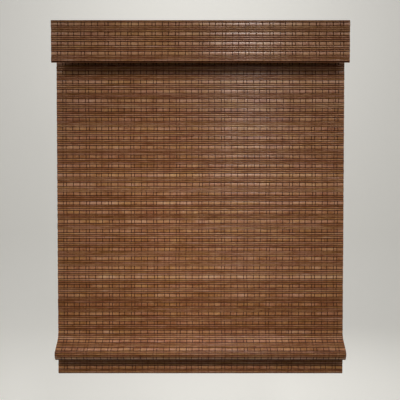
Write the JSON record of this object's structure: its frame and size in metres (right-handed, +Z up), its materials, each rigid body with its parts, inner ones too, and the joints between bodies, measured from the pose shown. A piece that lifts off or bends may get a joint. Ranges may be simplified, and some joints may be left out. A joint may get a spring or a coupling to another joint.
{
  "type": "bamboo roman shade",
  "caption": "Woven bamboo roman shade with a flat valance, one formed pleat above the hem, and a spring lift tube that gathers the mat into folds on cords.",
  "frame": {"origin": "midway between the two fixing holes, on the mounting board's top face", "axes": "+X across the shade to the right seen from the room, +Y away from the room towards the window, +Z up"},
  "size_m": [0.894, 0.0948, 1.08],
  "materials": {
    "bamboo": "stained, satin",
    "batten_wood": "bare, sanded",
    "white_board": "satin paint",
    "white_rail": "powder coat",
    "white_plastic": "moulded",
    "nylon": "natural nylon",
    "bare_aluminium": "drawn",
    "zinc_steel": "zinc plated",
    "spring_steel": "oiled",
    "tape": "woven nylon",
    "cord": "braided"
  },
  "bodies": {
    "headrail_body": {"mounting_board": "white_board", "headrail": "white_rail", "headrail_screws": "zinc_steel", "end_cap_left": "white_plastic", "end_cap_right": "white_plastic", "valance": "bamboo", "valance_hook_tape": "tape", "valance_loop_tape": "tape", "shade_mat": "bamboo", "mat_hook_tape": "tape", "mat_loop_tape": "tape", "spring_rod": "zinc_steel", "spring_anchor": "nylon", "torsion_spring": "spring_steel", "lift_cord_left": "cord", "lift_cord_centre": "cord", "lift_cord_right": "cord"},
    "lift_tube_body": {"lift_tube": "bare_aluminium", "tube_bush": "nylon", "spring_driver": "nylon", "idler_plug": "nylon", "spool_left": "nylon", "spool_centre": "nylon", "spool_right": "nylon"},
    "bottom_rail": {"bottom_bar": "batten_wood", "cord_anchor_left": "nylon", "cord_anchor_centre": "nylon", "cord_anchor_right": "nylon"},
    "rib_1": {"rib_batten_1": "batten_wood", "cord_rings_1": "nylon"},
    "rib_2": {"rib_batten_2": "batten_wood", "cord_rings_2": "nylon"},
    "rib_3": {"rib_batten_3": "batten_wood", "cord_rings_3": "nylon"},
    "rib_4": {"rib_batten_4": "batten_wood", "cord_rings_4": "nylon"},
    "rib_5": {"rib_batten_5": "batten_wood", "cord_rings_5": "nylon"}
  },
  "joints": [
    {"name": "lift", "type": "slide", "parent": "headrail_body", "child": "bottom_rail", "axis": [0, 0, 1], "range_m": [0, 0.778], "deforming": ["shade_mat", "lift_cord_left", "lift_cord_centre", "lift_cord_right"]},
    {"name": "rib_1_lift", "type": "slide", "parent": "headrail_body", "child": "rib_1", "axis": [0, 0, 1], "range_m": [0, 0.1486]},
    {"name": "rib_2_lift", "type": "slide", "parent": "headrail_body", "child": "rib_2", "axis": [0, 0, 1], "range_m": [0, 0.2972]},
    {"name": "rib_3_lift", "type": "slide", "parent": "headrail_body", "child": "rib_3", "axis": [0, 0, 1], "range_m": [0, 0.4458]},
    {"name": "rib_4_lift", "type": "slide", "parent": "headrail_body", "child": "rib_4", "axis": [0, 0, 1], "range_m": [0, 0.5944]},
    {"name": "rib_5_lift", "type": "slide", "parent": "headrail_body", "child": "rib_5", "axis": [0, 0, 1], "range_m": [0, 0.743]},
    {"name": "tube_spin", "type": "hinge", "parent": "headrail_body", "child": "lift_tube_body", "pos_m": [0, 0.047, -0.037], "axis": [-1, 0, 0], "range_deg": [0, 4053]}
  ],
  "couplings": [
    {"joint": "rib_1_lift", "follows": "lift", "ratio": 0.191},
    {"joint": "rib_2_lift", "follows": "lift", "ratio": 0.382},
    {"joint": "rib_3_lift", "follows": "lift", "ratio": 0.573},
    {"joint": "rib_4_lift", "follows": "lift", "ratio": 0.764},
    {"joint": "rib_5_lift", "follows": "lift", "ratio": 0.955},
    {"joint": "tube_spin", "follows": "lift", "rad_per_m": 90.909}
  ]
}
